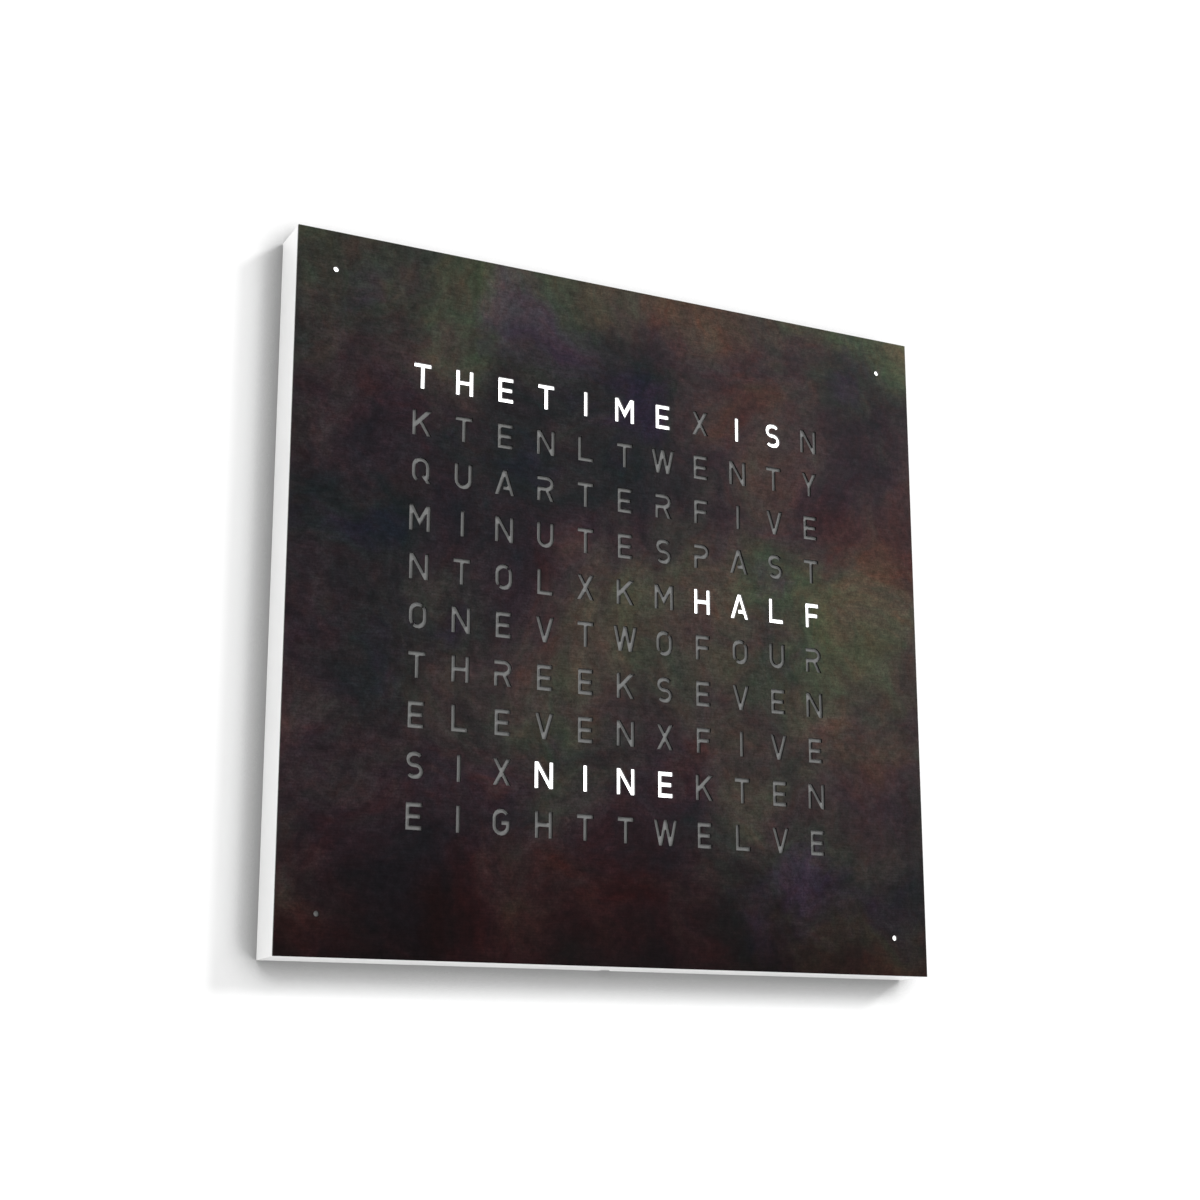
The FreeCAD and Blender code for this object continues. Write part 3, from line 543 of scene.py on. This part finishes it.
def add_copies(name, form, matrices, body, replaced, materials, sharp=SHARP_ANGLE):
    """One piece with a copy of the form at each place."""
    single = bpy.data.meshes.new("single")
    form.to_mesh(single)
    form.free()
    whole = bmesh.new()
    for matrix in matrices:
        before = len(whole.verts)
        whole.from_mesh(single)
        whole.verts.ensure_lookup_table()
        bmesh.ops.transform(whole, matrix=matrix, verts=whole.verts[before:])
    mesh = bpy.data.meshes.new(name)
    whole.to_mesh(mesh)
    whole.free()
    bpy.data.meshes.remove(single)
    for finish in materials:
        mesh.materials.append(finish)
    mesh.shade_smooth()
    mesh.set_sharp_from_angle(angle=math.radians(sharp))
    add_piece(name, mesh, body, replaced)


def at(places, turn=None):
    """A matrix for each place, after an optional turn of the form."""
    first = turn.to_4x4() if turn else Matrix.Identity(4)
    return [Matrix.Translation(place) @ first for place in places]


def cross_outline(reach, wide, y):
    """The twelve corners of a cross, counted round the Y axis."""
    return [Vector((x, y, z)) for x, z in (
        (wide, wide), (wide, reach), (-wide, reach), (-wide, wide), (-reach, wide), (-reach, -wide),
        (-wide, -wide), (-wide, -reach), (wide, -reach), (wide, -wide), (reach, -wide), (reach, wide))]


def countersunk_screw(length):
    """Flush screw with a cross recess: its head is level with y = 0 and it runs towards -Y."""
    made = lathe([(SCREW_HEAD - SCREW_EDGE, 0), (SCREW_HEAD, -SCREW_EDGE), (SCREW_SHANK, SCREW_SEAT),
                  (SCREW_SHANK, SCREW_TIP - length), (0, -length)])
    rim = [edge for edge in made.edges if all(vert.co.y == 0 for vert in edge.verts)]
    mouth = [made.verts.new(point) for point in cross_outline(CROSS_REACH, CROSS_WIDE, 0)]
    floor = [made.verts.new(point) for point in cross_outline(CROSS_REACH / 2, CROSS_WIDE / 2, -CROSS_DEPTH)]
    corners = len(mouth)
    slot_edges = []
    for step in range(corners):
        ahead = (step + 1) % corners
        made.faces.new((mouth[step], mouth[ahead], floor[ahead], floor[step]))
        slot_edges.append(made.edges.get((mouth[step], mouth[ahead])))
    made.faces.new(floor)
    bmesh.ops.triangle_fill(made, use_beauty=True, edges=rim + slot_edges)
    bmesh.ops.recalc_face_normals(made, faces=made.faces)
    return made


def make_back_screws(finishes):
    """The screws of the back cover and of the posts, each turned a little further than the last."""
    for name in ("back_cover_screws", "post_screws"):
        boxes = islands(name)
        length = boxes[0][1].y - boxes[0][0].y
        heads = [Vector(((low.x + high.x) / 2, high.y, (low.z + high.z) / 2)) for low, high in boxes]
        matrices = [Matrix.Translation(head) @ Matrix.Rotation(SCREW_TURN * number, 4, "Y")
                    for number, head in enumerate(heads)]
        add_copies(name + "_turned", countersunk_screw(length), matrices, "case", [name],
                   [finishes["zinc_steel"]])


def make_magnets(finishes):
    """Nickelled disc magnets, level with the front of the case."""
    low, high = islands("cover_magnets")[0]
    flat = MAGNET_RADIUS - SMALL_EDGE
    form = lathe([(0, low.y), (flat, low.y), (MAGNET_RADIUS, low.y + SMALL_EDGE),
                  (MAGNET_RADIUS, high.y - SMALL_EDGE), (flat, high.y), (0, high.y)])
    add_copies("magnets_turned", form, at(columns_through("cover_magnets")), "case", ["cover_magnets"],
               [finishes["nickel"]])


def make_bushes(finishes):
    """Moulded bushes with a lead-in round the bore."""
    low, high = islands("stud_bushes")[0]
    form = lathe([(BUSH_BORE + SMALL_EDGE, low.y), (BUSH_RADIUS, low.y), (BUSH_RADIUS, high.y),
                  (BUSH_BORE, high.y), (BUSH_BORE, low.y + SMALL_EDGE)], closed=True)
    add_copies("bushes_turned", form, at(columns_through("stud_bushes")), "case", ["stud_bushes"],
               [finishes["black_moulding"]])


def make_studs(finishes):
    """Weld studs on the back of the cover, with a turned groove above the tip."""
    low, high = islands("cover_studs")[0]
    tip = high.y - STUD_TIP
    groove = tip - STUD_GROOVE
    form = lathe([(0, low.y), (STUD_RADIUS, low.y), (STUD_RADIUS, groove - STUD_GROOVE),
                  (STUD_RADIUS - SMALL_EDGE, groove - STUD_GROOVE / 2), (STUD_RADIUS, groove),
                  (STUD_RADIUS, tip), (STUD_RADIUS - STUD_TIP / 2, high.y), (0, high.y)])
    add_copies("studs_turned", form, at(columns_through("cover_studs")), "cover", ["cover_studs"],
               [finishes["bare_steel"]])


def key_profile(depth):
    """Half the section of a key: flange, stem, rounded rim and shallow dish, with the top at 0."""
    rim = [(KEY_RADIUS - KEY_ROUND + KEY_ROUND * math.cos(math.radians(angle)),
            KEY_ROUND * math.sin(math.radians(angle)) - KEY_ROUND) for angle in KEY_RIM_ANGLES]
    dish = [(KEY_DISH_RADIUS * math.cos(math.radians(angle)),
             -KEY_DISH * math.sin(math.radians(angle))) for angle in KEY_DISH_ANGLES]
    flange = [(0, -depth), (KEY_FLANGE, -depth), (KEY_FLANGE, KEY_FLANGE_THICK - depth),
              (KEY_RADIUS, KEY_FLANGE_THICK - depth)]
    return flange + rim + dish + [(0, -KEY_DISH)]


def make_keys(finishes):
    """Setting keys with a rounded rim and a shallow dish for the fingertip."""
    for number in range(1, KEY_COUNT + 1):
        node = "key_cap_%d" % number
        low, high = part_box(node)
        form = lathe(key_profile(high.x - low.x))
        turn = Matrix.Rotation(math.radians(-90), 3, "Z")
        top = Vector((high.x, (low.y + high.y) / 2, (low.z + high.z) / 2))
        add_copies("key_cap_%d_turned" % number, form, at([top], turn), "setting_key_%d" % number, [node],
                   [finishes["white_key"]], KEY_SHARP_ANGLE)


def jack_profile(back):
    """Half the section of the jack: centre pin, bore, rounded flange and barrel, with the face at 0."""
    return [(0, JACK_PIN_SETBACK), (JACK_PIN - SMALL_EDGE, JACK_PIN_SETBACK),
            (JACK_PIN, JACK_PIN_SETBACK + SMALL_EDGE), (JACK_PIN, JACK_BORE_DEPTH),
            (JACK_BORE, JACK_BORE_DEPTH), (JACK_BORE, SMALL_EDGE), (JACK_BORE + SMALL_EDGE, 0),
            (JACK_FLANGE - SMALL_EDGE, 0), (JACK_FLANGE, SMALL_EDGE), (JACK_FLANGE, JACK_FLANGE_THICK),
            (JACK_BARREL, JACK_FLANGE_THICK), (JACK_BARREL, back), (0, back)]


def add_jack_lugs(form, back):
    """Two flat solder lugs behind the barrel."""
    for side in (-1, 1):
        lug = bmesh.ops.create_cube(form, size=1.0)["verts"]
        scale = Matrix.Diagonal((JACK_LUG_WIDE, JACK_LUG, JACK_LUG_THICK, 1))
        middle = Vector((side * JACK_LUG_OFFSET, back + JACK_LUG / 2, JACK_LUG_FORWARD))
        bmesh.ops.transform(form, matrix=Matrix.Translation(middle) @ scale, verts=lug)
        for face in {face for vert in lug for face in vert.link_faces}:
            face.material_index = 1


def make_jack(finishes):
    """Panel jack with a rounded flange, an open bore and its centre pin."""
    low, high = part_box("dc_jack")
    back = high.z - JACK_LUG - low.z
    form = lathe(jack_profile(back))
    for face in form.faces:
        radius = max(math.hypot(vert.co.x, vert.co.z) for vert in face.verts)
        face.material_index = 1 if radius < JACK_PIN + SMALL_EDGE else 0
    add_jack_lugs(form, back)
    turn = Matrix.Rotation(math.radians(90), 3, "X")
    axis_y = high.y - JACK_FLANGE * JACK_FACET
    add_copies("jack_turned", form, at([Vector((0, axis_y, low.z))], turn), "case", ["dc_jack"],
               [finishes["black_moulding"], finishes["nickel"]])


def outer_edges(form, axis, outer):
    """The long edges of a rail's outer face, where it meets the front and the back."""
    return [edge for edge in form.edges
            if edge.calc_length() > RAIL_LONG and edge.calc_face_angle(0) > RAIL_CORNER
            and all(abs(vert.co[axis] - outer) < FACE_REACH for vert in edge.verts)]


def make_eased_rails(finishes):
    """The four rails with their long outer edges eased under the lacquer."""
    for name, axis, side in RAILS:
        low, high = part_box(name)
        outer = high[axis] if side > 0 else low[axis]
        form = bmesh.new()
        form.from_mesh(nodes[name].data)
        bmesh.ops.remove_doubles(form, verts=form.verts, dist=MERGE_REACH)
        bmesh.ops.dissolve_limit(form, angle_limit=FLAT_ANGLE, verts=form.verts, edges=form.edges)
        eased = bmesh.ops.bevel(form, geom=outer_edges(form, axis, outer), offset=RAIL_EASE,
                                segments=RAIL_STEPS, profile=0.5, affect="EDGES")
        for face in form.faces:
            face.smooth = False
        for face in eased["faces"]:
            face.smooth = True
        bmesh.ops.triangulate(form, faces=[face for face in form.faces if len(face.verts) > 4])
        mesh = bpy.data.meshes.new(name + "_eased")
        form.to_mesh(mesh)
        form.free()
        mesh.materials.append(finishes["white_lacquer"])
        add_piece(name + "_eased", mesh, "case", [name])


def seen_directly(tree):
    """1 for rays from the camera, and from gloss and glass, which show the background too."""
    path = add(tree, "ShaderNodeLightPath").outputs
    plain = maths(tree, "MAXIMUM", path["Is Camera Ray"], path["Is Glossy Ray"])
    return maths(tree, "MAXIMUM", plain, path["Is Transmission Ray"])


def stage_material():
    """White wall or floor that keeps the object's shadow and is clear from behind, with painted contact shade
    in its colour next to the clock.
    """
    made = bpy.data.materials.new("stage_white")
    made.use_nodes = True
    tree = made.node_tree
    tree.nodes.clear()
    # Painted contact shade: for rays that see the wall directly, its colour darkens by ambient occlusion
    # where the clock closes it off
    contact = add(tree, "ShaderNodeAmbientOcclusion", {"Distance": CONTACT_REACH}, samples=CONTACT_SAMPLES)
    shade = ramp(tree, contact.outputs["AO"], *PAINTED_CONTACT_SHADES)
    colour = mix(tree, seen_directly(tree), BOUNCE_WHITE, shade)
    white = add(tree, "ShaderNodeBsdfDiffuse", {"Color": colour})
    clear = add(tree, "ShaderNodeBsdfTransparent")
    side = add(tree, "ShaderNodeNewGeometry")
    both = add(tree, "ShaderNodeMixShader", {0: side.outputs["Backfacing"]})
    tree.links.new(white.outputs[0], both.inputs[1])
    tree.links.new(clear.outputs[0], both.inputs[2])
    out = add(tree, "ShaderNodeOutputMaterial")
    tree.links.new(both.outputs[0], out.inputs["Surface"])
    return made


def stage_sheet(name, corners, faces, finish):
    """A flat sheet, seen from the side where the corners of its faces run anticlockwise."""
    mesh = bpy.data.meshes.new(name)
    mesh.from_pydata(corners, [], faces)
    mesh.materials.append(finish)
    sheet = bpy.data.objects.new(name, mesh)
    bpy.context.scene.collection.objects.link(sheet)
    return sheet


def make_stage():
    """A white wall that is open just behind the clock, so its back is lit too, and a floor far below."""
    finish = stage_material()
    side = WALL_REACH
    foot = FLOOR_LEVEL + WALL_LIFT
    behind = PLATE_SIDE / 2 - WALL_OVERLAP
    rim = [(-side, foot), (side, foot), (side, side), (-side, side)]
    opening = [(-behind, -behind), (behind, -behind), (behind, behind), (-behind, behind)]
    stage_sheet("wall", [(x, WALL_PLACE, z) for x, z in rim + opening],
                [(0, 1, 5, 4), (1, 2, 6, 5), (2, 3, 7, 6), (3, 0, 4, 7)], finish)
    reach = FLOOR_REACH
    floor = [(-reach, -reach), (reach, -reach), (reach, reach), (-reach, reach)]
    sheet = stage_sheet("floor", [(x, y, FLOOR_LEVEL) for x, y in floor], [(0, 1, 2, 3)], finish)
    sheet.visible_shadow = False


def make_lights():
    """An even white room, the sun that casts the shadow, and the fill."""
    world = bpy.data.worlds.new("white_room")
    bpy.context.scene.world = world
    world.use_nodes = True
    tree = world.node_tree
    tree.nodes.clear()
    level = maths(tree, "MAXIMUM", seen_directly(tree), ROOM_LEVEL)
    sky = add(tree, "ShaderNodeBackground", {"Color": (1, 1, 1, 1), "Strength": level})
    out = add(tree, "ShaderNodeOutputWorld")
    tree.links.new(sky.outputs[0], out.inputs["Surface"])
    make_sun("key", SUN_WAY, SUN_STRENGTH, SUN_ANGLE)
    make_sun("fill", FILL_WAY, FILL_STRENGTH, FILL_ANGLE)


def make_sun(name, way, strength, angle):
    """A sun whose light travels along a way."""
    lamp = bpy.data.lights.new(name, "SUN")
    lamp.energy = strength
    lamp.angle = angle
    sun = bpy.data.objects.new(name, lamp)
    sun.rotation_mode = "QUATERNION"
    sun.rotation_quaternion = way.to_track_quat("-Z", "Y")
    bpy.context.scene.collection.objects.link(sun)


def make_camera():
    """The camera at the photograph's place and angle."""
    data = bpy.data.cameras.new("camera")
    data.sensor_width = CAMERA_SENSOR
    data.lens = CAMERA_LENS
    data.shift_x, data.shift_y = CAMERA_SHIFT
    data.clip_end = CAMERA_FAR
    camera = bpy.data.objects.new("camera", data)
    back = -CAMERA_LOOK.normalized()
    up = back.cross(CAMERA_RIGHT).normalized()
    right = up.cross(back)
    turn = Matrix((right, up, back)).transposed()
    camera.matrix_world = Matrix.Translation(CAMERA_PLACE) @ turn.to_4x4()
    bpy.context.scene.collection.objects.link(camera)
    bpy.context.scene.camera = camera


finishes = make_finishes()
dress_nodes(finishes)
dress_cover_edges(cut_edge_and_slot_shade())
make_eased_rails(finishes)
make_back_screws(finishes)
make_magnets(finishes)
make_bushes(finishes)
make_studs(finishes)
make_keys(finishes)
make_jack(finishes)
make_stage()
make_lights()
make_camera()
bpy.context.scene.view_settings.view_transform = "Standard"
